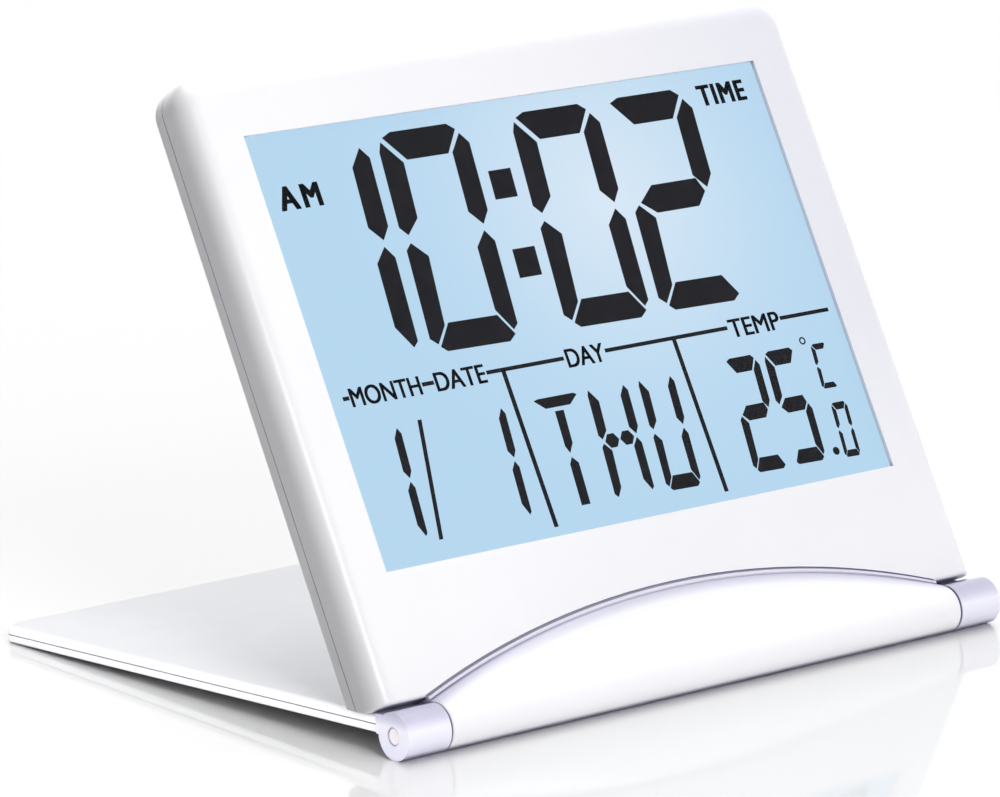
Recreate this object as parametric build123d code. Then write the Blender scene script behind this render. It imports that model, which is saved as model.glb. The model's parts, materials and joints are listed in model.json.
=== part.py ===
from build123d import *
import math
import os

# Folding travel alarm clock: a thin display body hinged along its lower edge to a flat flap.
# Open, the flap is the stand behind the display body; folded, it covers the display.
# Frame: +X along the hinge, +Y towards the back, +Z up, origin at the centre of the footprint.
# The display body is drawn flat as x, u, n: u runs up its front and n points out of it.
# The flap is drawn flat as x, d, m: d runs away from the hinge and m points up.
# Both flat drawings have the hinge axis at their origin.

# Driving dimensions, millimetres and degrees
BODY_WIDTH = 110.4
BODY_TOP = 97.0
BODY_BOTTOM = 4.4
FRONT_N = -0.4
BACK_N = -7.9
PARTING_N = -5.6
LEAN = 63.0
TOP_CORNER_R = 4.5
SIDE_ROLL_R = 3.2
INNER_ROLL_R = 1.4
BOTTOM_EDGE_R = 0.5
BACK_EDGE_R = 0.7
WALL = 1.4
FACE_WALL = 1.2

SCREEN_WIDTH = 93.4
SCREEN_BOTTOM = 22.5
SCREEN_TOP = 87.1
SCREEN_RECESS = 0.7

HINGE_LENGTH = 109.0
KNUCKLE_R = 3.4
KNUCKLE_LENGTH = 7.4
KNUCKLE_GAP = 0.3
PIN_R = 1.3
PIN_LENGTH = 13.0
PIN_RUNNING_GAP = 0.05

ARCH_TOP = 12.4
ARCH_R = 138.5
ARCH_RIM_N = 0.6
ARCH_RECESS = 0.4
ARCH_GROOVE = 0.45

FLAP_WIDTH = 108.6
FLAP_REACH = 97.4
FLAP_TOP = 2.4
FLAP_BOTTOM = -0.1
FLAP_PARTING = 1.2
FLAP_CORNER_R = 2.6
FLAP_TOP_EDGE_R = 0.8
FLAP_BOTTOM_EDGE_R = 0.4
PARTING_GROOVE = 0.14
FLAP_CUT_TOP = 13.0
FLAP_CUT_R = 150.0
STOP_GAP = 0.12

BUTTON_R = 3.1
BUTTON_GAP = 0.2
BUTTON_U = 79.0
BUTTON_XS = {"mode_button": 33.0, "set_button": 11.0, "up_button": -11.0, "down_button": -33.0}
SLIDER_X = -33.0
SLIDER_U = 62.0
CELL_X = -27.0
CELL_U = 33.0
CELL_R = 10.0
DOOR_R = 11.9
SOUNDER_X = 28.0
SOUNDER_U = 34.0
SENSOR_X = 42.0

# Depths inside the display body
BACK_INNER = BACK_N + FACE_WALL
FRONT_INNER = FRONT_N - FACE_WALL
WINDOW_N = FRONT_N - SCREEN_RECESS
BOARD_FRONT = -4.3
BOARD_BACK = -5.1

# Worked out from the driving dimensions
FLAP_SLOPE = math.degrees(
    math.asin(KNUCKLE_R / math.hypot(FLAP_REACH, FLAP_BOTTOM)) + math.atan(FLAP_BOTTOM / FLAP_REACH)
)
OPEN_ANGLE = LEAN + FLAP_SLOPE
BARREL_HALF = HINGE_LENGTH / 2 - KNUCKLE_LENGTH - KNUCKLE_GAP
HALF_WIDTH = BODY_WIDTH / 2
INNER_HALF = HALF_WIDTH - WALL
AXIS_Z = KNUCKLE_R
AXIS_Y = -(FLAP_REACH * math.cos(math.radians(FLAP_SLOPE)) - KNUCKLE_R) / 2
BODY_PLACE = Location((0, AXIS_Y, AXIS_Z), (LEAN, 0, 0))
FLAP_PLACE = Location((0, AXIS_Y, AXIS_Z), (-FLAP_SLOPE, 0, 0))


def block(x0, x1, y0, y1, z0, z1):
    """A box between two corners."""
    return Pos((x0 + x1) / 2, (y0 + y1) / 2, (z0 + z1) / 2) * Box(x1 - x0, y1 - y0, z1 - z0)


def disc(x, y, z0, z1, radius):
    """An upright cylinder at x, y between two heights."""
    return Pos(x, y, (z0 + z1) / 2) * Cylinder(radius, z1 - z0)


def rod(x0, x1, radius, y=0.0, z=0.0):
    """A cylinder along X between two ends."""
    return Pos((x0 + x1) / 2, y, z) * Rot(0, 90, 0) * Cylinder(radius, x1 - x0)


def tub(half, low, high, n0, n1, corner):
    """The body's outline, with rounded top corners, between two depths."""
    outline = Pos(0, (low + high) / 2) * Rectangle(2 * half, high - low)
    outline = fillet(outline.vertices().sort_by(Axis.Y)[-2:], corner)
    return extrude(Pos(0, 0, n0) * outline, n1 - n0)


def below_stop(rise):
    """Everything below a plane parallel to the open flap, raised above its top face by rise."""
    top = FLAP_TOP + rise
    return Rot(-OPEN_ANGLE, 0, 0) * block(-70, 70, -30, 60, top - 40, top)


def arch_region(top, radius, n0, n1, half):
    """The area under a shallow arch, between two depths."""
    circle = disc(0, top - radius, n0, n1, radius)
    return circle & block(-half, half, -5, top + 1, n0, n1)


def case_block(n0, n1):
    """Solid outline of the display body between two depths."""
    return tub(HALF_WIDTH, BODY_BOTTOM, BODY_TOP, n0, n1, TOP_CORNER_R)


def case_cavity(n0, n1):
    """The room inside the display body's walls."""
    room = tub(INNER_HALF, BODY_BOTTOM + WALL, BODY_TOP - WALL, n0, n1, TOP_CORNER_R - WALL)
    return room - below_stop(STOP_GAP + WALL)


def parting_step(n0, n1):
    """A shallow groove round the body's outside, between two depths."""
    depth = 0.25
    core = tub(HALF_WIDTH - depth, BODY_BOTTOM - 1, BODY_TOP - depth, n0, n1, TOP_CORNER_R - depth)
    return case_block(n0, n1) - core


def case_corners():
    """Centres of the four case screws."""
    return [(x, u) for u in (12.6, 93.0) for x in (-50.6, 50.6)]


def board_corners():
    """Centres of the four circuit board screws."""
    return [(x, u) for u in (30.0, 75.0) for x in (-51.6, 51.6)]


def arch_screws():
    """Centres of the hinge cover's screws."""
    return [(x, 7.6) for x in (-30.0, 0.0, 30.0)]


def front_housing():
    """Front shell: face, window opening, top and side walls, screw posts."""
    shell = case_block(PARTING_N, FRONT_N)
    rim = shell.edges().group_by(Axis.Z)[-1].sort_by(Axis.Y)
    shell = fillet(rim[1:], SIDE_ROLL_R)
    bottom = shell.edges().filter_by(Axis.X).group_by(Axis.Z)[-1].sort_by(Axis.Y)[0]
    shell = fillet(bottom, BOTTOM_EDGE_R)
    room = case_cavity(PARTING_N, FRONT_INNER)
    room_rim = room.edges().group_by(Axis.Z)[-1].sort_by(Axis.Y)
    shell -= fillet(room_rim[1:], INNER_ROLL_R)
    shell -= parting_step(PARTING_N, PARTING_N + PARTING_GROOVE)
    half = SCREEN_WIDTH / 2
    shell -= block(-half, half, SCREEN_BOTTOM, SCREEN_TOP, FRONT_INNER - 1, FRONT_N + 1)
    ledge = 1.4
    shell -= block(-half - ledge, half + ledge, SCREEN_BOTTOM - ledge, SCREEN_TOP + ledge, FRONT_INNER - 1, WINDOW_N)
    for x, u in case_corners():
        post = disc(x, u, BACK_INNER + 1.2, FRONT_INNER, 2.2) & case_block(BACK_N, FRONT_N)
        shell += post - disc(x, u, BACK_N, FRONT_INNER - 0.4, 0.82)
    for x, u in board_corners():
        shell += disc(x, u, BOARD_FRONT, FRONT_INNER, 1.4) - disc(x, u, BOARD_FRONT, FRONT_INNER - 0.4, 0.62)
    shell -= arch_region(ARCH_TOP + ARCH_GROOVE, ARCH_R + ARCH_GROOVE, FRONT_N - ARCH_RECESS, FRONT_N + 1,
                         BARREL_HALF + 0.1)
    for x, u in arch_screws():
        shell -= disc(x, u, FRONT_INNER - 1, FRONT_N, 0.75)
    shell -= block(-14.2, 14.2, BODY_TOP - 3, BODY_TOP + 1, -5.1, -2.7)
    shell -= below_stop(STOP_GAP)
    return shell


def rear_housing():
    """Rear shell: back face, openings for the buttons, slider, battery, sounder and sensor."""
    shell = case_block(BACK_N, PARTING_N)
    rim = shell.edges().group_by(Axis.Z)[0].sort_by(Axis.Y)
    shell = fillet(rim[1:], BACK_EDGE_R)
    shell -= case_cavity(BACK_INNER, PARTING_N)
    for x in BUTTON_XS.values():
        shell -= disc(x, BUTTON_U, BACK_N - 1, BACK_INNER + 1, BUTTON_R + BUTTON_GAP)
    shell -= block(SLIDER_X - 5.2, SLIDER_X + 5.2, SLIDER_U - 1.7, SLIDER_U + 1.7, BACK_N - 1, BACK_INNER + 1)
    shell -= disc(CELL_X, CELL_U, BACK_N - 1, BACK_INNER + 1, DOOR_R + 0.2)
    for side in (-1, 1):
        x0 = CELL_X + side * 10.0
        x1 = CELL_X + side * 13.6
        shell -= block(min(x0, x1), max(x0, x1), CELL_U - 2.4, CELL_U + 2.4, BACK_N - 1, BACK_INNER + 1)
    for x, u in sound_holes():
        shell -= disc(x, u, BACK_N - 1, BACK_INNER + 1, 0.7)
    collar = disc(SOUNDER_X, SOUNDER_U, BACK_INNER, BACK_INNER + 0.4, 7.5)
    shell += collar - disc(SOUNDER_X, SOUNDER_U, BACK_INNER, BACK_INNER + 1, 6.2)
    for step in range(4):
        u = 18.0 + 1.8 * step
        shell -= block(SENSOR_X - 4, SENSOR_X + 4, u - 0.4, u + 0.4, BACK_N - 1, BACK_INNER + 1)
    for x, u in case_corners():
        post = disc(x, u, BACK_N, BACK_INNER + 1.2, 2.2) & case_block(BACK_N, FRONT_N)
        shell += post - below_stop(STOP_GAP)
        shell -= disc(x, u, BACK_N - 1, BACK_N + 1.2, 1.7)
        shell -= disc(x, u, BACK_N, PARTING_N + 1, 0.9)
    shell -= below_stop(STOP_GAP)
    return shell


def sound_holes():
    """A ring of six holes about a middle one, in front of the sounder."""
    ring = [(SOUNDER_X + 3.6 * math.cos(a), SOUNDER_U + 3.6 * math.sin(a))
            for a in (math.radians(60 * k) for k in range(6))]
    return [(SOUNDER_X, SOUNDER_U)] + ring


def tangent_point(x, y, radius):
    """Where a line from x, y touches a circle about the origin, on the side of +y."""
    reach = math.hypot(x, y)
    angle = math.atan2(y, x) + math.acos(radius / reach)
    return radius * math.cos(angle), radius * math.sin(angle)


def hinge_cover():
    """Middle hinge barrel with the arch-shaped plate that joins it to the front housing."""
    rim_u = ARCH_TOP + 0.6
    seat = FRONT_N - ARCH_RECESS
    touch_u, touch_n = tangent_point(rim_u, ARCH_RIM_N, KNUCKLE_R)
    middle = ((touch_u + rim_u) / 2, (touch_n + ARCH_RIM_N) / 2 + 0.25)
    crown = ThreePointArc((touch_u, touch_n), middle, (rim_u, ARCH_RIM_N))
    web = Polyline(
        (rim_u, ARCH_RIM_N), (rim_u, seat), (BODY_BOTTOM, seat), (BODY_BOTTOM, -2.8),
        (2.0, -2.6), (0, 0), (touch_u, touch_n),
    )
    side = Plane.YZ * make_face(crown + web)
    plate = extrude(side, BARREL_HALF, both=True)
    plate &= arch_region(ARCH_TOP, ARCH_R, -6, 6, BARREL_HALF)
    cover = plate + rod(-BARREL_HALF, BARREL_HALF, KNUCKLE_R)
    for end in (-1, 1):
        near = end * (BARREL_HALF - 7.0)
        far = end * (BARREL_HALF + 1.0)
        cover -= rod(min(near, far), max(near, far), PIN_R + PIN_RUNNING_GAP)
    for x, u in arch_screws():
        cover -= disc(x, u, -6, 0.5, 0.62)
    return cover


def display_window():
    """Clear cover of the display, set back behind the front face."""
    half = SCREEN_WIDTH / 2 + 1.2
    return block(-half, half, SCREEN_BOTTOM - 1.2, SCREEN_TOP + 1.2, WINDOW_N - 0.9, WINDOW_N - 0.1)


def frame_ring(half_out, low_out, high_out, half_in, low_in, high_in, n0, n1):
    """A flat rectangular ring between two depths."""
    return block(-half_out, half_out, low_out, high_out, n0, n1) - block(
        -half_in, half_in, low_in, high_in, n0 - 1, n1 + 1)


def window_tape():
    """Adhesive frame between the window and the front housing."""
    half = SCREEN_WIDTH / 2
    return frame_ring(half + 1.2, SCREEN_BOTTOM - 1.2, SCREEN_TOP + 1.2,
                      half + 0.2, SCREEN_BOTTOM - 0.2, SCREEN_TOP + 0.2, WINDOW_N - 0.1, WINDOW_N)


def lcd_frame():
    """Moulded holder that squares the display stack to the circuit board."""
    return frame_ring(50.0, 16.4, 90.4, 48.8, 17.8, 88.9, BOARD_FRONT, -2.05)


def display_stack():
    """Flat layers of the display, from the front polariser to the reflector."""
    half = 48.6
    guide_left = -46.8
    return {
        "lcd_front_polariser": block(-half, half, 20.8, 88.7, -2.25, -2.05),
        "lcd_panel": block(-half, half, 18.0, 88.7, -3.15, -2.25),
        "lcd_rear_polariser": block(-half, half, 20.8, 88.7, -3.3, -3.15),
        "light_guide": block(guide_left, half, 20.8, 88.7, -4.0, -3.3),
        "reflector_sheet": block(-half, half, 20.8, 88.7, -4.15, -4.0),
        "zebra_strip": block(-44.0, 44.0, 18.4, 20.4, BOARD_FRONT, -3.15),
    }


def backlight_leds():
    """Two side-lighting LEDs at the left edge of the light guide."""
    pair = [block(-48.6, -47.0, u - 1.5, u + 1.5, -4.0, -3.35) for u in (38.0, 70.0)]
    return Compound(children=pair)


def circuit_board():
    """Board with a round cut-out for the coin cell and its screw holes."""
    board = block(-52.8, 52.8, 15.6, 89.5, BOARD_BACK, BOARD_FRONT)
    board -= disc(CELL_X, CELL_U, BOARD_BACK - 1, BOARD_FRONT + 1, CELL_R + 0.4)
    for x, u in board_corners():
        board -= disc(x, u, BOARD_BACK - 1, BOARD_FRONT + 1, 0.8)
    return board


def clock_chip():
    """Bare chip under a domed blob of resin."""
    blob = disc(0, 52, BOARD_BACK - 1.0, BOARD_BACK, 4.6)
    return fillet(blob.edges().group_by(Axis.Z)[0], 0.8)


def board_parts():
    """Resistors and capacitors on the back of the board."""
    spots = [(-12, 58), (-12, 54), (-12, 50), (12, 58), (12, 50), (6, 42), (0, 42), (-6, 42), (20, 58), (20, 54)]
    return Compound(children=[block(x - 1.0, x + 1.0, u - 0.6, u + 0.6, BOARD_BACK - 0.6, BOARD_BACK)
                              for x, u in spots])


def thermistor():
    """Temperature sensor bead on its two leads, behind the vents."""
    bead = disc(SENSOR_X, 20.5, -6.4, -5.6, 0.7)
    for side in (-0.35, 0.35):
        bead += block(SENSOR_X + side - 0.12, SENSOR_X + side + 0.12, 20.3, 20.7, -5.6, BOARD_BACK)
    return bead


def sounder_contacts():
    """Two short posts between the sounder and the board."""
    posts = [disc(SOUNDER_X + dx, SOUNDER_U, BACK_INNER + 0.8, BOARD_BACK, 0.7) for dx in (-5.0, 2.0)]
    return Compound(children=posts)


def positive_contact():
    """Side leaf that touches the coin cell's rim."""
    x = CELL_X + CELL_R
    leaf = block(x + 0.05, x + 0.35, CELL_U - 3, CELL_U + 3, -6.0, BOARD_BACK)
    foot = block(x + 0.35, x + 2.6, CELL_U - 3, CELL_U + 3, BOARD_BACK - 0.2, BOARD_BACK)
    return leaf + foot


def negative_contact():
    """Strip across the cut-out that touches the coin cell's face."""
    return block(CELL_X - 13, CELL_X + 4, CELL_U - 2, CELL_U + 2, BOARD_FRONT, BOARD_FRONT + 0.1)


def coin_cell():
    """2.5 mm thick lithium coin cell with a stepped rim."""
    low = BACK_N + 1.1
    can = disc(CELL_X, CELL_U, low, low + 2.0, CELL_R)
    cap = disc(CELL_X, CELL_U, low + 2.0, low + 2.4, CELL_R - 1.2)
    return can + cap


def battery_cover():
    """Round bayonet cover with a coin slot, flush with the back."""
    plug = disc(CELL_X, CELL_U, BACK_N, BACK_N + 1.0, DOOR_R)
    plug = chamfer(plug.edges().group_by(Axis.Z)[0], 0.2)
    plug += disc(CELL_X, CELL_U, BACK_N + 1.0, BACK_INNER + 0.6, DOOR_R) - disc(
        CELL_X, CELL_U, BACK_N + 1.0, BACK_INNER + 0.6, CELL_R + 0.6)
    lugs = disc(CELL_X, CELL_U, BACK_INNER + 0.1, BACK_INNER + 0.6, 13.3) - disc(
        CELL_X, CELL_U, BACK_INNER, BACK_INNER + 1, 11.5)
    plug += lugs & block(CELL_X - 2, CELL_X + 2, CELL_U - 20, CELL_U + 20, BACK_N, PARTING_N)
    slot = block(CELL_X - 6.0, CELL_X + 6.0, CELL_U - 0.9, CELL_U + 0.9, BACK_N - 1, BACK_N + 0.6)
    return plug - slot


def rear_button(x):
    """Round button with an inner flange and a stem over its dome switch."""
    cap = disc(x, BUTTON_U, BACK_N + 0.05, BACK_INNER + 0.1, BUTTON_R)
    cap = fillet(cap.edges().group_by(Axis.Z)[0], 0.35)
    flange = disc(x, BUTTON_U, BACK_INNER + 0.1, BACK_INNER + 0.6, BUTTON_R + 1.0)
    return cap + flange + disc(x, BUTTON_U, BACK_INNER + 0.6, BACK_INNER + 0.8, 1.2)


def button_switches():
    """Metal dome switches on the board, one under each rear button."""
    domes = [disc(x, BUTTON_U, BOARD_BACK - 0.25, BOARD_BACK, 2.0) for x in BUTTON_XS.values()]
    return Compound(children=[chamfer(d.edges().group_by(Axis.Z)[0], 0.15) for d in domes])


def snooze_key():
    """Long key in the top edge, with a flange inside the wall and an arm to its switch."""
    key = block(-13.9, 13.9, BODY_TOP - 2.0, BODY_TOP - 0.05, -4.9, -2.9)
    key = fillet(key.edges().group_by(Axis.Y)[-1], 0.4)
    flange = block(-15.2, 15.2, BODY_TOP - 2.6, BODY_TOP - 1.6, -5.2, -2.6)
    arm = block(-1.4, 1.4, BODY_TOP - 4.6, BODY_TOP - 2.6, -6.0, -3.0)
    return key + flange + arm


def snooze_switch():
    """Side-press switch on the board's top edge."""
    housing = block(-3.0, 3.0, 87.0, 90.8, BOARD_BACK - 1.4, BOARD_BACK)
    return housing + block(-0.9, 0.9, 90.8, 91.7, BOARD_BACK - 1.1, BOARD_BACK - 0.3)


def alarm_slider():
    """Alarm on/off knob in its slot, with a wide flange inside."""
    knob = block(SLIDER_X - 5.0, SLIDER_X + 1.8, SLIDER_U - 1.5, SLIDER_U + 1.5, BACK_N + 0.1, BACK_INNER + 0.1)
    for step in range(4):
        x = SLIDER_X - 3.8 + 1.4 * step
        knob -= block(x, x + 0.5, SLIDER_U - 2, SLIDER_U + 2, BACK_N, BACK_N + 0.35)
    flange = block(SLIDER_X - 9.0, SLIDER_X + 5.8, SLIDER_U - 2.6, SLIDER_U + 2.6, BACK_INNER + 0.1, BACK_INNER + 0.5)
    return knob + flange


def alarm_switch():
    """Body of the slide switch on the board."""
    return block(SLIDER_X - 4.5, SLIDER_X + 4.5, SLIDER_U - 1.8, SLIDER_U + 1.8, BOARD_BACK - 0.7, BOARD_BACK)


def cross_screw(x, u, head_n, head_r, head_h, tip_n, shank_r):
    """Pan-head screw with a cross recess, its head towards the back."""
    screw = disc(x, u, head_n, head_n + head_h, head_r) + disc(x, u, head_n + head_h, tip_n, shank_r)
    depth = head_h * 0.6
    for width, height in ((0.4, head_r), (head_r, 0.4)):
        screw -= block(x - width / 2, x + width / 2, u - height / 2, u + height / 2, head_n - 1, head_n + depth)
    return screw


def screw_group(spots, head_n, head_r, head_h, tip_n, shank_r):
    """Identical screws at each spot."""
    return Compound(children=[cross_screw(x, u, head_n, head_r, head_h, tip_n, shank_r) for x, u in spots])


def hinge_pin(side):
    """Steel pin, fixed in the knuckle and free to turn in the barrel."""
    outer = side * (HINGE_LENGTH / 2 - 0.1)
    inner = side * (HINGE_LENGTH / 2 - 0.1 - PIN_LENGTH)
    pin = rod(min(outer, inner), max(outer, inner), PIN_R)
    return chamfer(pin.edges(), 0.2)


def knuckle(side):
    """End knuckle of the flap: a round end squared into the plate, with a tongue inside it."""
    x0 = side * (HINGE_LENGTH / 2 - KNUCKLE_LENGTH)
    x1 = side * HINGE_LENGTH / 2
    low, high = min(x0, x1), max(x0, x1)
    body = rod(low, high, KNUCKLE_R) + block(low, high, 0, 3.9, FLAP_BOTTOM, 2.7)
    corner = body.edges().filter_by(Axis.X).sort_by(lambda e: e.center().Y + e.center().Z)[-1]
    body = fillet(corner, 0.4)
    body += block(low + 1.2, high - 1.2, 3.9, 9.0, 0.6, 1.8)
    return body - rod(low - 1, high + 1, PIN_R + 0.02)


def flap_outline(m0, m1):
    """Flap plate between two heights, with the arched cut-out at its hinge edge."""
    half = FLAP_WIDTH / 2
    sheet = Pos(0, (FLAP_REACH + 3.9) / 2) * Rectangle(2 * half, FLAP_REACH - 3.9)
    sheet = fillet(sheet.vertices().sort_by(Axis.Y)[-2:], FLAP_CORNER_R)
    plate = extrude(Pos(0, 0, m0) * sheet, m1 - m0)
    inner = HINGE_LENGTH / 2 - KNUCKLE_LENGTH
    return plate - arch_region(FLAP_CUT_TOP, FLAP_CUT_R, m0 - 1, m1 + 1, inner)


def tongue_pockets(m0, m1):
    """Room for the knuckles' tongues between the two plates."""
    inner = HINGE_LENGTH / 2 - KNUCKLE_LENGTH + 1.15
    outer = HINGE_LENGTH / 2 - 1.15
    return [block(min(s * inner, s * outer), max(s * inner, s * outer), 3, 9.05, m0, m1) for s in (-1, 1)]


def peg_spots():
    """Centres of the pegs that locate the two flap plates."""
    return [(x, d) for d in (22.0, 88.0) for x in (-44.0, 0.0, 44.0)]


def flap_upper_plate():
    """Upper plate of the flap, with blind holes for the pegs."""
    plate = flap_outline(FLAP_PARTING, FLAP_TOP)
    top = plate.edges().group_by(Axis.Z)[-1]
    plate = fillet(top, FLAP_TOP_EDGE_R)
    for pocket in tongue_pockets(FLAP_PARTING - 1, 1.82):
        plate -= pocket
    for x, d in peg_spots():
        plate -= disc(x, d, FLAP_PARTING - 1, FLAP_PARTING + 0.7, 1.25)
    return plate


def flap_lower_plate():
    """Lower plate of the flap, stepped in at its top so that a fine groove shows at the parting."""
    plate = flap_outline(FLAP_BOTTOM, FLAP_PARTING - PARTING_GROOVE)
    bottom = plate.edges().group_by(Axis.Z)[0]
    plate = fillet(bottom, FLAP_BOTTOM_EDGE_R)
    step = 0.4
    inner = FLAP_WIDTH / 2 - step
    core = block(-inner, inner, 4.3, FLAP_REACH - step, FLAP_PARTING - 2 * PARTING_GROOVE, FLAP_PARTING)
    cut_top = FLAP_CUT_TOP + step
    reach = HINGE_LENGTH / 2 - KNUCKLE_LENGTH + step
    core -= arch_region(cut_top, FLAP_CUT_R, FLAP_BOTTOM, FLAP_TOP, reach)
    far_corners = core.edges().filter_by(Axis.Z).group_by(Axis.Y)[-1]
    plate += fillet(far_corners, FLAP_CORNER_R - step)
    for pocket in tongue_pockets(0.58, FLAP_PARTING + 1):
        plate -= pocket
    for x, d in peg_spots():
        plate += disc(x, d, FLAP_PARTING, FLAP_PARTING + 0.6, 1.2)
    return plate


def display_nodes():
    """Every piece of the display body, drawn flat."""
    nodes = {
        "front_housing": front_housing(),
        "rear_housing": rear_housing(),
        "hinge_cover": hinge_cover(),
        "display_window": display_window(),
        "window_tape": window_tape(),
        "lcd_frame": lcd_frame(),
        "backlight_leds": backlight_leds(),
        "circuit_board": circuit_board(),
        "clock_chip": clock_chip(),
        "quartz_crystal": rod(8.0, 13.5, 0.7, 46.0, BOARD_BACK - 0.75),
        "board_parts": board_parts(),
        "thermistor": thermistor(),
        "piezo_sounder": disc(SOUNDER_X, SOUNDER_U, BACK_INNER + 0.4, BACK_INNER + 0.8, 7.4),
        "sounder_contacts": sounder_contacts(),
        "coin_cell": coin_cell(),
        "positive_contact": positive_contact(),
        "negative_contact": negative_contact(),
        "battery_cover": battery_cover(),
        "button_switches": button_switches(),
        "snooze_key": snooze_key(),
        "snooze_switch": snooze_switch(),
        "alarm_slider": alarm_slider(),
        "alarm_switch": alarm_switch(),
        "case_screws": screw_group(case_corners(), BACK_N + 0.2, 1.6, 1.0, -3.0, 0.8),
        "board_screws": screw_group(board_corners(), BOARD_BACK - 0.6, 1.2, 0.6, -2.4, 0.6),
        "hinge_cover_screws": screw_group(arch_screws(), FRONT_INNER - 0.7, 1.2, 0.7, 0.4, 0.6),
    }
    nodes.update(display_stack())
    for name, x in BUTTON_XS.items():
        nodes[name] = rear_button(x)
    return nodes


def flap_nodes():
    """Every piece of the flap, drawn flat."""
    return {
        "flap_upper_plate": flap_upper_plate(),
        "flap_lower_plate": flap_lower_plate(),
        "knuckle_left": knuckle(-1),
        "knuckle_right": knuckle(1),
        "hinge_pin_left": hinge_pin(-1),
        "hinge_pin_right": hinge_pin(1),
    }


def write_parts():
    """One STEP file for each piece, in its place on the open clock."""
    os.makedirs("parts", exist_ok=True)
    for place, nodes in ((BODY_PLACE, display_nodes()), (FLAP_PLACE, flap_nodes())):
        for name, shape in nodes.items():
            export_step(place * shape, os.path.join("parts", name + ".step"))


write_parts()
print("flap slope", round(FLAP_SLOPE, 4), "open angle", round(OPEN_ANGLE, 4))
print("hinge axis y, z", round(AXIS_Y, 4), AXIS_Z)
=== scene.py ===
import json
import math

import bmesh
import bpy
from mathutils import Matrix, Vector


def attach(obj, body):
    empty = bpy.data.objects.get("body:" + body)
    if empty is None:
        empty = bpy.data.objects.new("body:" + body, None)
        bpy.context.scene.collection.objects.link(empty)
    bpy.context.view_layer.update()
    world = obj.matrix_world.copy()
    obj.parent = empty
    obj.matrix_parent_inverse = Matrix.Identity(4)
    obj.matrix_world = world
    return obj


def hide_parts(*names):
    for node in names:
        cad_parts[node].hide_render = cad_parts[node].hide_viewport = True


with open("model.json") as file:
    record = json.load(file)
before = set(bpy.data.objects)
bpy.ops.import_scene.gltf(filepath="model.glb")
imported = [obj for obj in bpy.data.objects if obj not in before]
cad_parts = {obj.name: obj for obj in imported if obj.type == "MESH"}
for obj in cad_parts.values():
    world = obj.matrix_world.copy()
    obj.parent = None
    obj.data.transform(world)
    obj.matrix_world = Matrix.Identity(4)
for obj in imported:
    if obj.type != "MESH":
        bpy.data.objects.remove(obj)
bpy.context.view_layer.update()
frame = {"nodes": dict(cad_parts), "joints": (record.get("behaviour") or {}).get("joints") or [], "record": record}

MM = 0.001
NODES = frame["nodes"]
JOINTS = {joint["name"]: joint for joint in frame["joints"]}
MOUNTS = {mount["name"]: mount for mount in frame["record"]["mounts"]}


# ---------------------------------------------------------------- places, all from the frame

def matrix_of(x_axis, y_axis, z_axis, origin):
    """4 by 4 matrix with these axes and this origin."""
    rows = [(x_axis[i], y_axis[i], z_axis[i], origin[i]) for i in range(3)]
    return Matrix(rows + [(0, 0, 0, 1)])


def leaning_frame(normal):
    """Frame at the hinge axis, in millimetres: x along the hinge, z along normal."""
    out = Vector(normal).normalized()
    along = Vector((1, 0, 0))
    up = out.cross(along)
    origin = Vector(JOINTS["flap_hinge"]["pos_m"])
    return matrix_of(along * MM, up * MM, out * MM, origin)


DISPLAY = leaning_frame(JOINTS["mode_button_press"]["axis"])
FLAP = leaning_frame([-v for v in MOUNTS["flap_underside"]["axis"]])


def extent(node, place=DISPLAY):
    """Lowest and highest corner of a CAD node in one of the two frames above."""
    inverse = place.inverted()
    points = [inverse @ v.co for v in NODES[node].data.vertices]
    low = Vector([min(p[i] for p in points) for i in range(3)])
    high = Vector([max(p[i] for p in points) for i in range(3)])
    return low, high


HOUSING_LOW, HOUSING_HIGH = extent("front_housing")
WINDOW_LOW, WINDOW_HIGH = extent("display_window")
COVER_LOW, COVER_HIGH = extent("hinge_cover")
PIN_LOW, PIN_HIGH = extent("hinge_pin_left", FLAP)
LCD_FACE = extent("lcd_front_polariser")[1].z
FRONT = HOUSING_HIGH.z
WINDOW_LAP = 1.2  # how far the housing laps over each edge of the window
SCREEN_LEFT = WINDOW_LOW.x + WINDOW_LAP
SCREEN_BOTTOM = WINDOW_LOW.y + WINDOW_LAP
SCREEN_WIDTH = WINDOW_HIGH.x - WINDOW_LOW.x - 2 * WINDOW_LAP
SCREEN_HEIGHT = WINDOW_HIGH.y - WINDOW_LOW.y - 2 * WINDOW_LAP


# ---------------------------------------------------------------- materials

NOISE_LOW, NOISE_HIGH = 0.3, 0.7  # between these lies nearly all of a noise texture
GRAIN_SIZE = 0.00012
GRAIN_DEPTH = 0.00001
CREASE_SHADE_REACH = 0.0015


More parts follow.
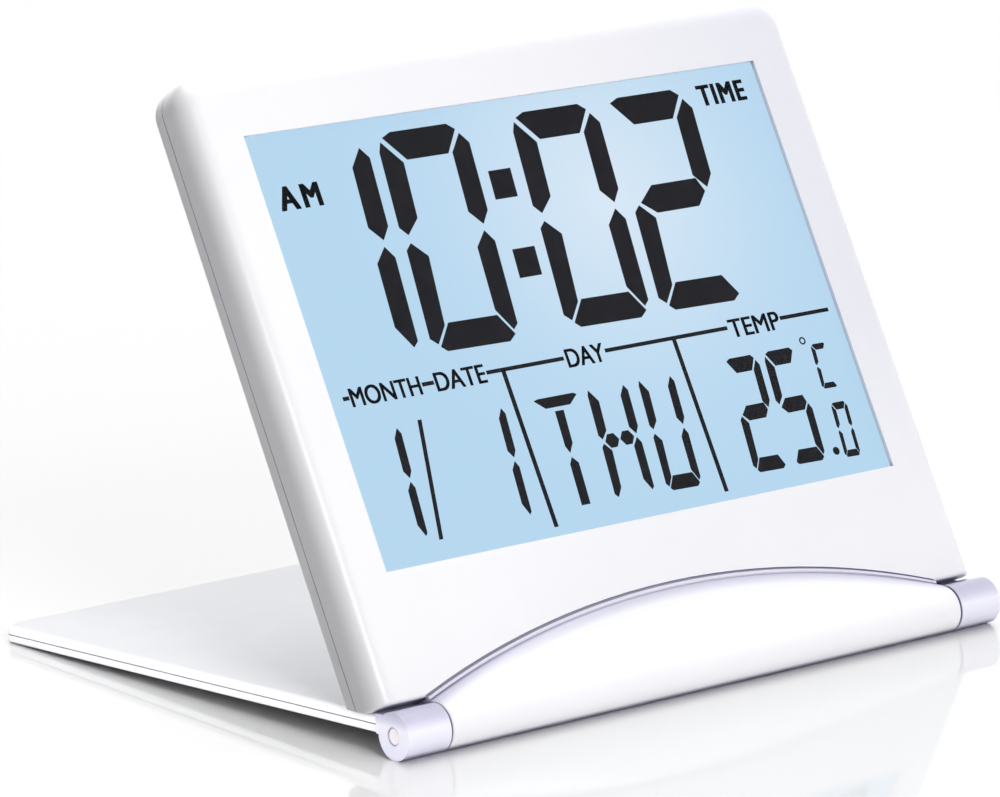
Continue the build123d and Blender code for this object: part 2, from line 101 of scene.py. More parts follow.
class Shader:
    """A node material built step by step around one Principled shader. Lengths are in metres."""

    def __init__(self, name):
        self.material = bpy.data.materials.new(name)
        self.material.use_nodes = True
        self.tree = self.material.node_tree
        self.shader = self.tree.nodes["Principled BSDF"]
        self.place = self.tree.nodes.new("ShaderNodeTexCoord").outputs["Object"]

    def put(self, **values):
        """Constant values on the shader's own sockets; a double underscore stands for a space."""
        for socket, value in values.items():
            self.shader.inputs[socket.replace("__", " ")].default_value = value

    def link(self, output, socket):
        self.tree.links.new(output, self.shader.inputs[socket])

    def scaled(self, scale):
        """Object coordinates stretched by scale."""
        node = self.tree.nodes.new("ShaderNodeMapping")
        node.inputs["Scale"].default_value = scale
        self.tree.links.new(self.place, node.inputs["Vector"])
        return node.outputs["Vector"]

    def noise(self, scale, detail=3.0, stretch=(1, 1, 1)):
        """Fractal noise with features of about 1/scale metres."""
        node = self.tree.nodes.new("ShaderNodeTexNoise")
        node.inputs["Scale"].default_value = scale
        node.inputs["Detail"].default_value = detail
        self.tree.links.new(self.scaled(stretch), node.inputs["Vector"])
        return node.outputs["Fac"]

    def ramp(self, factor, stops):
        """Colour ramp; stops are (position, colour)."""
        node = self.tree.nodes.new("ShaderNodeValToRGB")
        elements = node.color_ramp.elements
        while len(elements) < len(stops):
            elements.new(0.5)
        for element, (position, colour) in zip(elements, stops):
            element.position = position
            element.color = (*colour, 1.0)
        self.tree.links.new(factor, node.inputs["Fac"])
        return node.outputs["Color"]

    def between(self, value, low, high, start=0.0, stop=1.0):
        """Goes from start to stop as a value goes from low to high."""
        node = self.tree.nodes.new("ShaderNodeMapRange")
        node.inputs["From Min"].default_value = low
        node.inputs["From Max"].default_value = high
        node.inputs["To Min"].default_value = start
        node.inputs["To Max"].default_value = stop
        self.tree.links.new(value, node.inputs["Value"])
        return node.outputs["Result"]

    def span(self, noise, start, stop):
        """Spreads a noise output over start to stop."""
        return self.between(noise, NOISE_LOW, NOISE_HIGH, start, stop)

    def along(self, axis, low, high):
        """Rises from 0 to 1 between two places along the X or Z axis."""
        separate = self.tree.nodes.new("ShaderNodeSeparateXYZ")
        self.tree.links.new(self.place, separate.inputs["Vector"])
        return self.between(separate.outputs[axis], low, high)

    def blend(self, factor, first, second):
        """Mixes two colour outputs by a factor output."""
        node = self.tree.nodes.new("ShaderNodeMixRGB")
        self.tree.links.new(factor, node.inputs["Fac"])
        self.tree.links.new(first, node.inputs["Color1"])
        self.tree.links.new(second, node.inputs["Color2"])
        return node.outputs["Color"]

    def multiplied(self, first, second):
        """Product of two colour outputs."""
        node = self.tree.nodes.new("ShaderNodeMixRGB")
        node.blend_type = "MULTIPLY"
        node.inputs["Fac"].default_value = 1.0
        self.tree.links.new(first, node.inputs["Color1"])
        self.tree.links.new(second, node.inputs["Color2"])
        return node.outputs["Color"]

    def toned(self, tones):
        """Multiplies the base colour by another colour output."""
        colour = self.shader.inputs["Base Color"].links[0].from_socket
        self.link(self.multiplied(colour, tones), "Base Color")

    def painted_crease_shade(self, colour, shade_tint):
        """Paints shade into a colour output in creases and hollows, where ambient occlusion finds them."""
        hollow = self.tree.nodes.new("ShaderNodeAmbientOcclusion")
        hollow.samples = 8
        hollow.inputs["Distance"].default_value = CREASE_SHADE_REACH
        dark = self.tree.nodes.new("ShaderNodeRGB")
        dark.outputs["Color"].default_value = (*shade_tint, 1)
        openness = self.span(hollow.outputs["AO"], 0.0, 1.0)
        return self.blend(openness, dark.outputs["Color"], colour)

    def bump(self, factor, strength, distance):
        node = self.tree.nodes.new("ShaderNodeBump")
        node.inputs["Strength"].default_value = strength
        node.inputs["Distance"].default_value = distance
        self.tree.links.new(factor, node.inputs["Height"])
        self.link(node.outputs["Normal"], "Normal")


def darker(colour, share):
    return tuple(a * (1 - share) for a in colour)


def plastic_shader(name, colour, roughness, grain=0.12, coat=0.0, mottle=0.02, hollow=None):
    """Moulded plastic with a fine grain, faint unevenness, and painted shade in its creases and hollows."""
    m = Shader(name)
    cloud = m.noise(45.0, 4.0)
    shade = m.ramp(cloud, [(NOISE_LOW, darker(colour, mottle)), (NOISE_HIGH, colour)])
    # painted shade: creases, grooves and recesses darken toward a tint
    if hollow:
        shade = m.painted_crease_shade(shade, hollow)
    m.link(shade, "Base Color")
    m.link(m.span(m.noise(160.0, 2.0), roughness * 0.9, roughness * 1.1), "Roughness")
    m.bump(m.noise(1.0 / GRAIN_SIZE, 2.0), grain, GRAIN_DEPTH)
    m.put(IOR=1.5, Coat__Weight=coat, Coat__Roughness=0.12)
    return m


def moulded_plastic(name, colour, roughness, **finish):
    return plastic_shader(name, colour, roughness, **finish).material


def brushed_metal(name, colour, roughness=0.3, stretch=(1, 40, 40)):
    """Plated or drawn metal with fine lines along one axis."""
    m = Shader(name)
    lines = m.noise(160.0, 3.0, stretch)
    m.link(m.ramp(lines, [(0.35, darker(colour, 0.08)), (0.65, colour)]), "Base Color")
    m.link(m.span(lines, roughness * 0.9, roughness * 1.2), "Roughness")
    m.bump(lines, 0.06, GRAIN_DEPTH)
    m.put(Metallic=1.0)
    return m.material


def clear_window():
    """Thin clear cover: almost only its gloss is seen."""
    m = Shader("clear_window")
    m.link(m.span(m.noise(30.0), 0.03, 0.07), "Roughness")
    m.put(Base__Color=(0.02, 0.03, 0.04, 1), Alpha=0.07, IOR=1.45)
    return m.material


def lit_display():
    """Backlit liquid crystal face: pale blue, lightest up right of its middle."""
    m = Shader("lit_display")
    reach = 0.046
    centre = DISPLAY @ Vector((SCREEN_LEFT + 0.64 * SCREEN_WIDTH,
                               SCREEN_BOTTOM + 0.74 * SCREEN_HEIGHT, FRONT))
    mapping = m.tree.nodes.new("ShaderNodeMapping")
    mapping.inputs["Location"].default_value = [-c / reach for c in centre]
    mapping.inputs["Scale"].default_value = (1 / reach, 1 / reach, 1 / reach)
    m.tree.links.new(m.place, mapping.inputs["Vector"])
    spot = m.tree.nodes.new("ShaderNodeTexGradient")
    spot.gradient_type = "SPHERICAL"
    m.tree.links.new(mapping.outputs["Vector"], spot.inputs["Vector"])
    edge = (0.475, 0.695, 0.880)
    near = (0.510, 0.712, 0.892)
    middle = (0.690, 0.815, 0.935)
    glow = m.ramp(spot.outputs["Fac"], [(0.0, edge), (0.35, near), (0.95, middle)])
    m.link(glow, "Emission Color")
    m.put(Emission__Strength=1.12, Base__Color=(0.004, 0.005, 0.006, 1))
    m.put(Roughness=0.5, Specular__IOR__Level=0.1)
    return m.material


def display_ink():
    """Dark liquid crystal segments."""
    m = Shader("display_ink")
    shades = [(NOISE_LOW, (0.010, 0.009, 0.011)), (NOISE_HIGH, (0.016, 0.014, 0.018))]
    m.link(m.ramp(m.noise(400.0), shades), "Base Color")
    m.put(Roughness=0.6, Specular__IOR__Level=0.1)
    return m.material


def circuit_mask():
    """Green solder mask with fine tracks under it."""
    m = Shader("circuit_mask")
    tracks = m.tree.nodes.new("ShaderNodeTexBrick")
    tracks.inputs["Scale"].default_value = 420.0
    tracks.inputs["Mortar Size"].default_value = 0.03
    tracks.inputs["Color1"].default_value = (0.010, 0.110, 0.045, 1)
    tracks.inputs["Color2"].default_value = (0.014, 0.135, 0.055, 1)
    tracks.inputs["Mortar"].default_value = (0.030, 0.230, 0.090, 1)
    m.tree.links.new(m.place, tracks.inputs["Vector"])
    m.link(tracks.outputs["Color"], "Base Color")
    m.bump(tracks.outputs["Fac"], 0.2, 0.00003)
    m.put(Roughness=0.3)
    return m.material


def film(name, colour, alpha):
    """Clear or tinted optical film or guide."""
    m = Shader(name)
    shades = [(NOISE_LOW, darker(colour, 0.04)), (NOISE_HIGH, colour)]
    m.link(m.ramp(m.noise(120.0), shades), "Base Color")
    m.put(Alpha=alpha, Roughness=0.08)
    return m.material


def knuckle_paint_and_shade():
    """Silvery lavender paint of the knuckles, with painted shade deepening the side that is up when the clock is
    open.
    """
    m = plastic_shader("hinge_silver", (0.73, 0.72, 0.81), 0.30,
                       grain=0.35, mottle=0.05, coat=0.1, hollow=SHADE_LAVENDER)
    knuckle_top = 2 * JOINTS["flap_hinge"]["pos_m"][2]
    height = m.along("Z", 0.0, knuckle_top)
    # painted light and shade: pale below, a lighter band, then dark lavender toward the top
    m.toned(m.ramp(height, [(0.0, (0.90, 0.90, 0.95)), (0.45, (0.92, 0.92, 0.94)),
                            (0.66, (0.96, 0.96, 0.96)), (0.82, (0.68, 0.67, 0.75)),
                            (1.0, (0.50, 0.49, 0.58))]))
    return m.material


def pin_steel():
    """Satin steel of the hinge pins."""
    m = Shader("pin_steel")
    shades = [(0.35, (0.80, 0.76, 0.79)), (0.65, (0.86, 0.82, 0.85))]
    m.link(m.ramp(m.noise(900.0), shades), "Base Color")
    m.link(m.span(m.noise(400.0), 0.4, 0.5), "Roughness")
    m.put(Metallic=0.4)
    return m.material


SHADE_RISE = (0.016, 0.045)  # heights between which painted shade deepens on the right side


def case_plastic():
    """Pearl white of the display body, with painted shade deepening it on its left side face and towards its upper
    right.
    """
    m = plastic_shader("case_white", (1.0, 1.0, 1.0), 0.36, coat=0.25, hollow=SHADE_LAVENDER)
    across = m.along("X", HOUSING_LOW.x * MM, HOUSING_HIGH.x * MM)
    height = m.along("Z", *SHADE_RISE)
    # painted shade: darker on the left side face, lighter over its rolled edge, deeper to the right and higher up
    tones = [(0.0, (0.70, 0.70, 0.725)), (0.008, (0.76, 0.76, 0.78)), (0.03, (0.88, 0.88, 0.90)),
             (0.15, (0.87, 0.87, 0.895)), (0.55, (0.84, 0.84, 0.875))]
    low = m.ramp(across, tones + [(1.0, (0.85, 0.85, 0.885))])
    high = m.ramp(across, tones + [(1.0, (0.765, 0.765, 0.835))])
    m.toned(m.blend(height, low, high))
    return m.material


WHITE = (0.83, 0.83, 0.87)
COVER_WHITE = (0.90, 0.90, 0.93)
# tint of the painted shade in creases and hollows
SHADE_LAVENDER = (0.30, 0.28, 0.42)
MATERIALS = {
    "case_white": case_plastic(),
    "flap_white": moulded_plastic("flap_white", (0.62, 0.625, 0.645), 0.6, hollow=(0.4, 0.4, 0.45)),
    "hinge_silver": knuckle_paint_and_shade(),
    "window_clear": clear_window(),
    "tape_black": moulded_plastic("tape_black", (0.010, 0.010, 0.012), 0.9, grain=0.5),
    "lcd_glass": film("lcd_glass", (0.55, 0.75, 0.85), 0.6),
    "polariser_film": lit_display(),
    "light_guide_acrylic": film("light_guide_acrylic", (0.75, 0.90, 1.0), 0.5),
    "reflector_white": moulded_plastic("reflector_white", (0.85, 0.86, 0.88), 0.5),
    "led_blue": moulded_plastic("led_blue", (0.60, 0.80, 1.0), 0.2),
    "conductive_rubber": moulded_plastic("conductive_rubber", (0.02, 0.02, 0.022), 0.8, grain=0.4),
    "board_green": circuit_mask(),
    "resin_black": moulded_plastic("resin_black", (0.010, 0.010, 0.010), 0.25),
    "switch_black": moulded_plastic("switch_black", (0.015, 0.015, 0.016), 0.5),
    "steel_bright": brushed_metal("steel_bright", (0.78, 0.76, 0.80)),
    "sounder_brass": brushed_metal("sounder_brass", (0.80, 0.60, 0.28), stretch=(20, 20, 20)),
    "button_grey": moulded_plastic("button_grey", (0.50, 0.50, 0.57), 0.42, grain=0.3, mottle=0.05),
    "cover_white": moulded_plastic("cover_white", WHITE, 0.38, coat=0.1, hollow=SHADE_LAVENDER),
}


def paint_cad_nodes():
    """Gives each CAD node the material of its slot in the record, and the hinge pins satin steel."""
    slots = {part["node"]: part["material_slot"] for part in frame["record"]["subparts"]}
    pin = pin_steel()
    for name, node in NODES.items():
        for place in node.material_slots:
            is_pin = name.startswith("hinge_pin")
            place.material = pin if is_pin else MATERIALS[slots[name]]


# ---------------------------------------------------------------- mesh helpers

CRISP_ANGLE = 32


def object_from(bm, name, material, place, body):
    """Turns a bmesh drawn in millimetres into a piece that rides on a body."""
    bmesh.ops.recalc_face_normals(bm, faces=bm.faces)
    bm.transform(place)
    mesh = bpy.data.meshes.new(name)
    bm.to_mesh(mesh)
    bm.free()
    piece = bpy.data.objects.new(name, mesh)
    bpy.context.scene.collection.objects.link(piece)
    mesh.materials.append(material)
    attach(piece, body)
    return piece


def smooth(piece):
    """Smooth shading, with real edges kept crisp."""
    for polygon in piece.data.polygons:
        polygon.use_smooth = True
    piece.data.set_sharp_from_angle(angle=math.radians(CRISP_ANGLE))


def add_prism(bm, outline, bottom, top):
    """Closed flat prism over an outline of x, y points."""
    low = [bm.verts.new((x, y, bottom)) for x, y in outline]
    high = [bm.verts.new((x, y, top)) for x, y in outline]
    bm.faces.new(list(reversed(low)))
    bm.faces.new(high)
    count = len(outline)
    for i in range(count):
        j = (i + 1) % count
        bm.faces.new((low[i], low[j], high[j], high[i]))


def cut_hole(piece, cutter):
    """Takes the cutter's shape out of a piece, for good."""
    mesh = bpy.data.meshes.new("cutter")
    bmesh.ops.recalc_face_normals(cutter, faces=cutter.faces)
    cutter.to_mesh(mesh)
    cutter.free()
    tool = bpy.data.objects.new("cutter", mesh)
    bpy.context.scene.collection.objects.link(tool)
    modifier = piece.modifiers.new("hole", "BOOLEAN")
    modifier.operation = "DIFFERENCE"
    modifier.object = tool
    modifier.solver = "EXACT"
    bpy.context.view_layer.update()
    graph = bpy.context.evaluated_depsgraph_get()
    shaped = bpy.data.meshes.new_from_object(piece.evaluated_get(graph))
    piece.modifiers.clear()
    materials = list(piece.data.materials)
    piece.data = shaped
    piece.data.materials.clear()
    for material in materials:
        piece.data.materials.append(material)
    bpy.data.objects.remove(tool)


# ---------------------------------------------------------------- what the display shows

DIGIT_W, DIGIT_H = 16.3, 33.3
SLANT = 0.08
INK_THICKNESS = 0.03
INK_GAP = 0.005  # keeps the segments just clear of the panel's face
DRAWN_SIZE = (94.8, 65.0)  # screen size that the drawing's coordinates are for
DRAWN_LEAN = -0.009
DRAWN_SHIFT = (1.53, 0.46)
SEGMENTS = {
    # outlines in millimetres from the lower left corner of an upright time digit
    "a": [(1.2, 32.6), (2.8, 33.3), (13.0, 33.3), (14.4, 32.3), (12.1, 28.85), (4.6, 28.85)],
    "b": [(14.9, 31.65), (16.3, 30.0), (16.3, 19.6), (14.9, 17.65), (12.8, 19.8), (12.85, 28.9)],
    "c": [(14.7, 16.7), (16.1, 14.9), (16.1, 2.3), (15.2, 1.5), (12.8, 4.85), (12.7, 14.4)],
    "d": [(1.7, 0.9), (2.7, 0.1), (14.0, -0.1), (15.25, 0.85), (12.9, 4.05), (4.05, 4.2)],
    "e": [(1.3, 16.6), (0.25, 15.6), (0.15, 2.3), (1.4, 1.3), (3.35, 3.9), (3.8, 14.3)],
    "f": [(0.7, 32.0), (0.1, 30.5), (0.0, 19.1), (1.3, 17.8), (3.65, 20.1), (3.85, 28.5)],
    "g": [(1.8, 16.9), (4.6, 19.3), (13.15, 19.3), (14.3, 17.1), (12.45, 15.0), (4.4, 15.0)],
}


def placed(outline, x, y, width, height):
    """A segment's outline scaled to its digit's size, slanted, and set at x, y on the display."""
    across, up = width / DIGIT_W, height / DIGIT_H
    return [(x + px * across + SLANT * py * up, y + py * up) for px, py in outline]


def box_outline(x0, x1, y0, y1):
    return [(x0, y0), (x1, y0), (x1, y1), (x0, y1)]


def circle_outline(x, y, radius):
    turns = [2 * math.pi * k / CIRCLE_STEPS for k in range(CIRCLE_STEPS)]
    return [(x + radius * math.cos(a), y + radius * math.sin(a)) for a in turns]


def hexagon(x, y, half_width, half_height):
    flat = 0.45 * half_width
    return [(x - half_width, y), (x - flat, y + half_height), (x + flat, y + half_height),
            (x + half_width, y), (x + flat, y - half_height), (x - flat, y - half_height)]


CIRCLE_STEPS = 28
LARGE_Y = 29.1
SMALL_W, SMALL_H, SMALL_Y = 6.5, 17.6, 2.9
TIME_DIGITS = (("bc", 1.5), ("abcdef", 19.6), ("abcdef", 44.1), ("abged", 62.0))
SMALL_DIGITS = (
    # lit segments, x, y, width, height: date, weekday, temperature
    ("bc", 2.0, SMALL_Y, SMALL_W, SMALL_H),
    ("bc", 20.7, SMALL_Y, SMALL_W, SMALL_H),
    ("bcef", 42.4, SMALL_Y, 7.5, SMALL_H),
    ("bcdef", 52.0, SMALL_Y, 6.7, SMALL_H),
    ("abged", 68.7, SMALL_Y, SMALL_W, SMALL_H),
    ("afgcd", 76.3, SMALL_Y, SMALL_W, SMALL_H),
    ("abcdef", 86.3, 2.5, 3.1, 8.5),
    ("afed", 86.5, 13.3, 3.1, 7.0),
)
COLON = ((37.8, 50.0), (38.3, 37.9))
COLON_SIZE = (4.1, 4.4)
DATE_SLASH = [(10.1, 2.8), (10.8, 2.8), (13.9, 20.2), (13.2, 20.2)]
LETTER_T = (
    [(34.0, 19.7), (34.7, 19.9), (41.3, 19.9), (41.9, 19.6), (40.2, 18.3), (35.7, 18.3)],
    [(37.1, 17.7), (38.7, 17.7), (38.3, 12.7), (37.3, 11.3), (36.8, 12.4)],
    [(37.3, 10.7), (38.2, 9.7), (37.8, 3.5), (36.2, 3.5), (36.6, 9.7)],
)
LETTER_H_BAR = (hexagon(45.35, 11.9, 1.3, 1.05), hexagon(48.15, 11.9, 1.3, 1.05))
DECIMAL_POINT = (85.0, 3.8, 0.62)
DEGREE_RING = (85.9, 21.1)
DEGREE_RADII = (0.36, 0.6)
RULE_Y, RULE_HALF = 25.1, 0.3
RULE_SPANS = ((2.0, 3.1), (16.0, 18.1), (27.6, 41.8), (49.5, 72.9), (83.2, 92.8))
DIVIDERS = (30.6, 62.5)
DIVIDER_HALF, DIVIDER_FOOT = 0.37, 1.2


def display_outlines():
    """Every dark shape on the display but the labels and the degree ring: x right, y up."""
    found = []
    for lit, x in TIME_DIGITS:
        found += [placed(SEGMENTS[name], x, LARGE_Y, DIGIT_W, DIGIT_H) for name in lit]
    for x, y in COLON:
        square = box_outline(0, COLON_SIZE[0], 0, COLON_SIZE[1])
        found.append([(x + px + SLANT * (py + y - LARGE_Y), y + py) for px, py in square])
    for lit, x, y, width, height in SMALL_DIGITS:
        found += [placed(SEGMENTS[name], x, y, width, height) for name in lit]
    found += [DATE_SLASH, *LETTER_T, *LETTER_H_BAR, circle_outline(*DECIMAL_POINT)]
    for x0, x1 in RULE_SPANS:
        found.append(box_outline(x0, x1, RULE_Y - RULE_HALF, RULE_Y + RULE_HALF))
    for x in DIVIDERS:
        found.append(box_outline(x - DIVIDER_HALF, x + DIVIDER_HALF, DIVIDER_FOOT, RULE_Y))
    return found


def make_display_segments():
    """All dark segments as one thin piece on the face of the liquid crystal panel."""
    bm = bmesh.new()
    for outline in display_outlines():
        add_prism(bm, outline, 0, INK_THICKNESS)
    inner, outer = [circle_outline(*DEGREE_RING, radius) for radius in DEGREE_RADII]
    for i in range(CIRCLE_STEPS):
        j = (i + 1) % CIRCLE_STEPS
        add_prism(bm, [outer[i], outer[j], inner[j], inner[i]], 0, INK_THICKNESS)
    bmesh.ops.remove_doubles(bm, verts=bm.verts, dist=0.0001)
    object_from(bm, "display_segments", INK, SCREEN, "display_body")


LABELS = (
    # words, left, right, baseline, capital height, extra weight, letter spacing
    ("AM", 2.65, 9.65, 53.35, 3.4, 0.2, 1.35),
    ("TIME", 82.7, 91.5, 59.2, 3.1, 0.18, 1.15),
    ("MONTH", 3.35, 15.65, 23.7, 2.75, 0.08, 1.0),
    ("DATE", 18.4, 27.3, 23.7, 2.75, 0.08, 1.0),
    ("DAY", 42.3, 49.2, 23.6, 2.75, 0.08, 1.0),
    ("TEMP", 73.3, 82.9, 23.5, 2.75, 0.08, 1.0),
)


def letter_mesh(words, spacing):
    """The letters of a label as a mesh, at no particular size."""
    curve = bpy.data.curves.new("label_" + words.lower(), "FONT")
    curve.body = words
    curve.space_character = spacing
    curve.extrude = 0.01
    source = bpy.data.objects.new("label_source", curve)
    bpy.context.scene.collection.objects.link(source)
    bpy.context.view_layer.update()
    mesh = bpy.data.meshes.new_from_object(source)
    bpy.data.objects.remove(source)
    return mesh


def make_label(words, left, right, baseline, height, weight, spacing):
    """One generic label, fitted to its place on the display; weight thickens its strokes."""
    mesh = letter_mesh(words, spacing)
    spans = [[v.co[axis] for v in mesh.vertices] for axis in range(3)]
    low = [min(values) for values in spans]
    high = [max(values) for values in spans]
    sizes = (right - left, height, INK_THICKNESS)
    scale = [size / (b - a) for size, a, b in zip(sizes, low, high)]
    fit = Matrix.Diagonal((*scale, 1))
    corner = (left, baseline, 0)
    start = Vector([c - a * k for c, a, k in zip(corner, low, scale)])
    shifts = [(dx, dy) for dx in (-weight, 0, weight) for dy in (-weight / 2, 0, weight / 2)]
    bm = bmesh.new()
    for dx, dy in shifts:
        copy = mesh.copy()
        copy.transform(Matrix.Translation(start + Vector((dx, dy, 0))) @ fit)
        bm.from_mesh(copy)
        bpy.data.meshes.remove(copy)
    object_from(bm, "label_" + words.lower(), INK, SCREEN, "display_body")


# ---------------------------------------------------------------- hinge cover

COVER_R = -COVER_LOW.y
HALF_COVER = COVER_HIGH.x
ARCH_APEX = COVER_HIGH.y
ARCH_ENDS = 4.3
ARCH_RISE = ARCH_APEX - ARCH_ENDS
ARCH_R = (HALF_COVER ** 2 + ARCH_RISE ** 2) / (2 * ARCH_RISE)
SEAT = FRONT - 0.35
LIP = FRONT + 0.5
WEB_U = 4.35
WEB_FOOT = -2.8
PIN_BORE = (PIN_HIGH.y - PIN_LOW.y) / 2 + 0.05
BARREL_START, BARREL_END = math.radians(77), math.radians(308)
BARREL_POINTS, CROWN_POINTS = 44, 34
COVER_STEPS = 160
COVER_SOFT = 0.14
SHADED_BAND = 4.5  # width of the shaded strip below the lip


def arch_edge(x):
    """Height of the arch above the hinge axis at x."""
    return ARCH_APEX - ARCH_R + math.sqrt(ARCH_R ** 2 - x ** 2)


def bezier(p0, p1, p2, p3):
    """Points on a cubic curve."""
    points = []
    for k in range(CROWN_POINTS):
        t = k / (CROWN_POINTS - 1)
        weights = ((1 - t) ** 3, 3 * t * (1 - t) ** 2, 3 * t * t * (1 - t), t ** 3)
        points.append(tuple(sum(w * q for w, q in zip(weights, place)) for place in zip(p0, p1, p2, p3)))
    return points


def cover_profile(x, inset):
    """Closed outline of the hinge cover across the hinge at x: barrel, crown, lip, seat and web."""
    edge = arch_edge(x)
    radius = COVER_R - inset
    step = (BARREL_END - BARREL_START) / (BARREL_POINTS - 1)
    angles = [BARREL_START + step * k for k in range(BARREL_POINTS)]
    barrel = [(radius * math.cos(a), radius * math.sin(a)) for a in angles]
    touch = barrel[0]
    valley = (edge - 0.62, LIP - 0.2 - inset)
    run = valley[0] - touch[0]
    reach = 0.6 * run
    fullness = 1.0 + 0.2 * (x / HALF_COVER) ** 2
    leaving = (touch[0] + reach * math.sin(BARREL_START), touch[1] - reach * math.cos(BARREL_START))
    arriving = (valley[0] - 0.07 * run, valley[1] + fullness - inset)
    crown = bezier(touch, leaving, arriving, valley)
    lip = [(edge - 0.5, LIP - 0.14 - inset), (edge - 0.4, LIP - 0.02 - inset),
           (edge - 0.3, LIP - inset), (edge - 0.14, LIP - inset),
           (edge - 0.04, LIP - 0.04 - inset), (edge, LIP - 0.14 - inset)]
    web = min(WEB_U, edge - 0.06)
    return list(reversed(barrel[1:])) + crown + lip + [(edge, SEAT), (web, SEAT), (web, WEB_FOOT)]


def cover_plastic():
    """The case's white, with painted lavender shade where the cover turns down to its lip and a thin painted
    highlight on the lip.
    """
    m = plastic_shader("cover_shaded", COVER_WHITE, 0.34, coat=0.25, hollow=SHADE_LAVENDER)
    local = m.tree.nodes.new("ShaderNodeMapping")
    local.vector_type = "TEXTURE"
    local.inputs["Location"].default_value = DISPLAY @ Vector((0, ARCH_APEX - ARCH_R, 0))
    local.inputs["Rotation"].default_value = DISPLAY.to_3x3().normalized().to_euler()
    m.tree.links.new(m.place, local.inputs["Vector"])
    flat = m.tree.nodes.new("ShaderNodeVectorMath")
    flat.operation = "MULTIPLY"
    flat.inputs[1].default_value = (1, 1, 0)
    m.tree.links.new(local.outputs["Vector"], flat.inputs[0])
    length = m.tree.nodes.new("ShaderNodeVectorMath")
    length.operation = "LENGTH"
    m.tree.links.new(flat.outputs["Vector"], length.inputs[0])
    outward = m.between(length.outputs["Value"], (ARCH_R - SHADED_BAND) * MM, ARCH_R * MM)
    # painted shade in a band below the lip, a thin painted highlight on its edge, painted shade beyond it
    m.toned(m.ramp(outward, [(0.0, (1, 1, 1)), (0.45, (0.94, 0.94, 0.97)), (0.74, (0.63, 0.62, 0.72)),
                             (0.86, (0.52, 0.50, 0.62)), (0.89, (0.90, 0.90, 0.95)),
                             (0.93, (0.84, 0.83, 0.91)), (1.0, (0.72, 0.71, 0.81))]))
    return m.material


def make_hinge_cover():
    """Barrel and arch-shaped cover in one moulding, its upper edge rolled over into a thin lip."""
    inner = HALF_COVER - COVER_SOFT
    ends = ((HALF_COVER - 0.05, COVER_SOFT * 0.45), (HALF_COVER, COVER_SOFT))
    stations = [(-x, inset) for x, inset in reversed(ends)]
    stations += [(-inner + 2 * inner * k / COVER_STEPS, 0.0) for k in range(COVER_STEPS + 1)]
    stations += ends
    bm = bmesh.new()
    rings = [[bm.verts.new((x, u, n)) for u, n in cover_profile(x, inset)] for x, inset in stations]
    count = len(rings[0])
    for one, two in zip(rings, rings[1:]):
        for i in range(count):
            j = (i + 1) % count
            bm.faces.new((one[i], one[j], two[j], two[i]))
    bm.faces.new(rings[0])
    bm.faces.new(list(reversed(rings[-1])))
    piece = object_from(bm, "hinge_cover_shell", cover_plastic(), DISPLAY, "display_body")
    turn = Matrix.Rotation(math.radians(90), 4, "Y")
    for side in (-1, 1):
        cutter = bmesh.new()
        bmesh.ops.create_cone(cutter, cap_ends=True, segments=64, radius1=PIN_BORE, radius2=PIN_BORE,
                              depth=2 * (PIN_HIGH.x - PIN_LOW.x))
        cutter.transform(DISPLAY @ Matrix.Translation((side * HALF_COVER, 0, 0)) @ turn)
        cut_hole(piece, cutter)
    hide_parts("hinge_cover")
    smooth(piece)


# ---------------------------------------------------------------- stage, light and camera

def make_floor():
    """Plain pale floor with a faint gloss."""
    bpy.ops.mesh.primitive_plane_add(size=8.0, location=(0, 0, 0))
    floor = bpy.context.object
    floor.name = "floor"
    m = Shader("floor_white")
    shades = [(NOISE_LOW, (0.62, 0.62, 0.62)), (NOISE_HIGH, (0.63, 0.63, 0.63))]
    m.link(m.ramp(m.noise(2.0), shades), "Base Color")
    m.put(Roughness=0.05, IOR=1.42)
    floor.data.materials.append(m.material)
    return floor


def make_world():
    """White studio surround: dim on the object's left and in front, brightest low behind it."""
    world = bpy.data.worlds.new("studio")
    bpy.context.scene.world = world
    world.use_nodes = True
    tree = world.node_tree
    background = tree.nodes["Background"]
    place = tree.nodes.new("ShaderNodeTexCoord")

    def toward(direction, start, stop, low, high):
        """A smooth change from low to high as the view turns to a direction."""
        dot = tree.nodes.new("ShaderNodeVectorMath")
        dot.operation = "DOT_PRODUCT"
        dot.inputs[1].default_value = Vector(direction).normalized()
        tree.links.new(place.outputs["Generated"], dot.inputs[0])
        rise = tree.nodes.new("ShaderNodeMapRange")
        rise.interpolation_type = "SMOOTHSTEP"
        rise.inputs["From Min"].default_value = start
        rise.inputs["From Max"].default_value = stop
        rise.inputs["To Min"].default_value = low
        rise.inputs["To Max"].default_value = high
        tree.links.new(dot.outputs["Value"], rise.inputs["Value"])
        return rise.outputs["Result"]

    def added(first, second):
        total = tree.nodes.new("ShaderNodeMath")
        total.operation = "ADD"
        tree.links.new(first, total.inputs[0])
        tree.links.new(second, total.inputs[1])
        return total.outputs["Value"]

    left = toward((1, 0.1, 0.25), -0.7, 0.15, 0.02, 0.86)
    behind = toward((0.6, 0.77, 0.2), 0.6, 0.95, 0.0, 0.58)
    front = toward((0.35, -0.9, 0.2), 0.2, 0.9, 0.0, -0.30)
    tree.links.new(added(added(left, behind), front), background.inputs["Strength"])
    background.inputs["Color"].default_value = (1.0, 1.0, 1.0, 1)


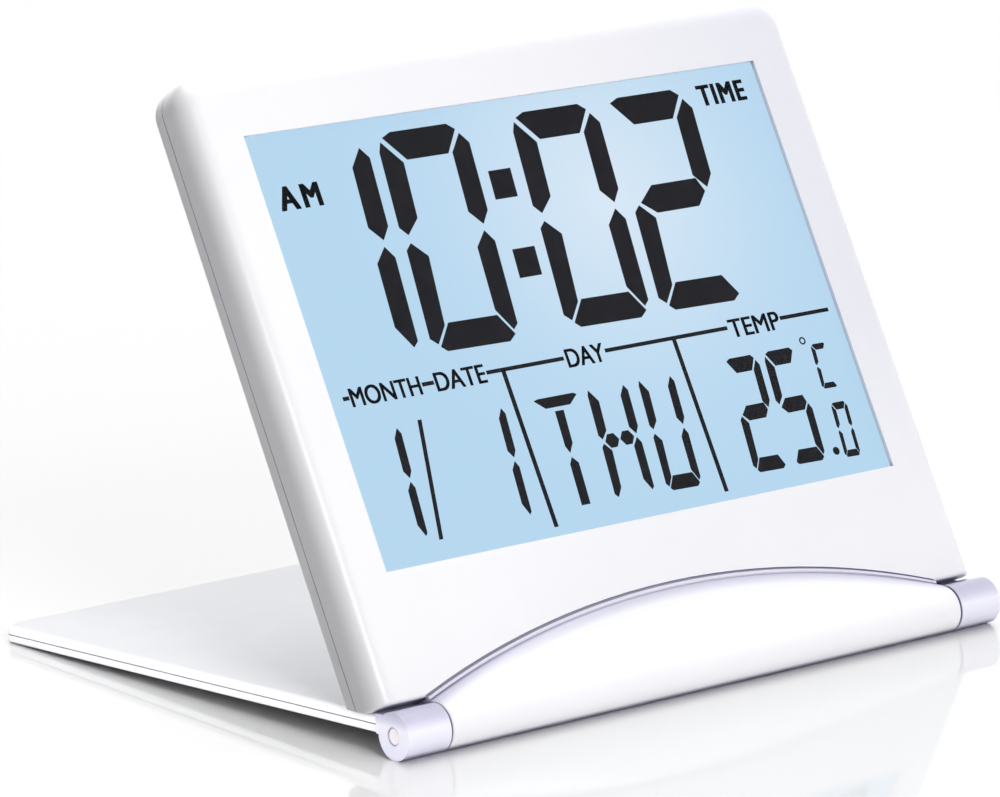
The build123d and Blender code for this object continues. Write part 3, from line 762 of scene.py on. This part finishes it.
def add_softbox(name, place, target, size, power):
    """Rectangular area lamp at a place, turned to a target; power in watts."""
    light = bpy.data.lights.new(name, "AREA")
    light.shape = "RECTANGLE"
    light.size, light.size_y = size
    light.energy = power
    lamp = bpy.data.objects.new(name, light)
    bpy.context.scene.collection.objects.link(lamp)
    lamp.location = place
    lamp.rotation_euler = (Vector(target) - Vector(place)).to_track_quat("-Z", "Y").to_euler()
    return lamp


def shine_only_on(lamp, *things):
    """Limits a lamp to some objects, as a flag on a stand would."""
    lit = bpy.data.collections.new(lamp.name + "_lit")
    for thing in things:
        lit.objects.link(thing)
    lamp.light_linking.receiver_collection = lit


CAMERA_AZIMUTH, CAMERA_ELEVATION, CAMERA_ROLL = -37.73, 11.36, -2.07
CAMERA_DISTANCE = 0.7566
CAMERA_AIM = (-0.03418, 0.0, 0.04369)  # from the hinge axis
FOCAL_LENGTH, SENSOR_WIDTH = 200.2, 36.0


def make_camera():
    """Camera to the front left, a little above the clock, tilted slightly to one side."""
    azimuth, elevation, roll = [math.radians(a) for a in (CAMERA_AZIMUTH, CAMERA_ELEVATION, CAMERA_ROLL)]
    target = Vector(JOINTS["flap_hinge"]["pos_m"]) + Vector(CAMERA_AIM)
    back = Vector((math.sin(azimuth) * math.cos(elevation), -math.cos(azimuth) * math.cos(elevation),
                   math.sin(elevation)))
    level = Vector((0, 0, 1)).cross(back).normalized()
    rise = back.cross(level)
    right = math.cos(roll) * level + math.sin(roll) * rise
    up = -math.sin(roll) * level + math.cos(roll) * rise
    data = bpy.data.cameras.new("camera")
    data.sensor_width = SENSOR_WIDTH
    data.lens = FOCAL_LENGTH
    data.clip_start = 0.01
    camera = bpy.data.objects.new("camera", data)
    bpy.context.scene.collection.objects.link(camera)
    camera.matrix_world = matrix_of(right, up, back, target + back * CAMERA_DISTANCE)
    bpy.context.scene.camera = camera


# ---------------------------------------------------------------- the scene

INK = display_ink()
FIT = Matrix.Diagonal((SCREEN_WIDTH / DRAWN_SIZE[0], SCREEN_HEIGHT / DRAWN_SIZE[1], 1, 1))
FIT[0][1] = DRAWN_LEAN
CORNER = (SCREEN_LEFT + DRAWN_SHIFT[0], SCREEN_BOTTOM + DRAWN_SHIFT[1], LCD_FACE + INK_GAP)
SCREEN = DISPLAY @ Matrix.Translation(CORNER) @ FIT

paint_cad_nodes()
make_display_segments()
for label in LABELS:
    make_label(*label)
make_hinge_cover()
FLOOR = make_floor()
make_world()
add_softbox("overhead", (0.10, 0.15, 0.90), (0, 0, 0), (0.8, 0.8), 4.4)
add_softbox("key", (-0.17, -0.47, 0.27), (0, -0.03, 0.04), (0.16, 0.24), 0.92)
add_softbox("front_low", (0.05, -0.90, 0.09), (0, -0.03, 0.02), (0.60, 0.12), 1.5)
flap_fill = add_softbox("flap_fill", (-0.75, -0.05, 0.06), (0, 0, 0.02), (0.5, 0.10), 6.0)
shine_only_on(flap_fill, NODES["flap_upper_plate"], NODES["flap_lower_plate"])
knuckle_fill = add_softbox("knuckle_fill", (-0.75, -0.05, 0.06), (0, 0, 0.02), (0.5, 0.10), 3.7)
hinge_ends = [NODES[name] for name in NODES if name.startswith(("knuckle", "hinge_pin"))]
shine_only_on(knuckle_fill, *hinge_ends)
floor_fill = add_softbox("floor_fill", (-0.60, -0.05, 0.22), (-0.10, 0, 0), (0.6, 0.5), 1.2)
shine_only_on(floor_fill, FLOOR)
make_camera()
bpy.context.scene.view_settings.view_transform = "Standard"
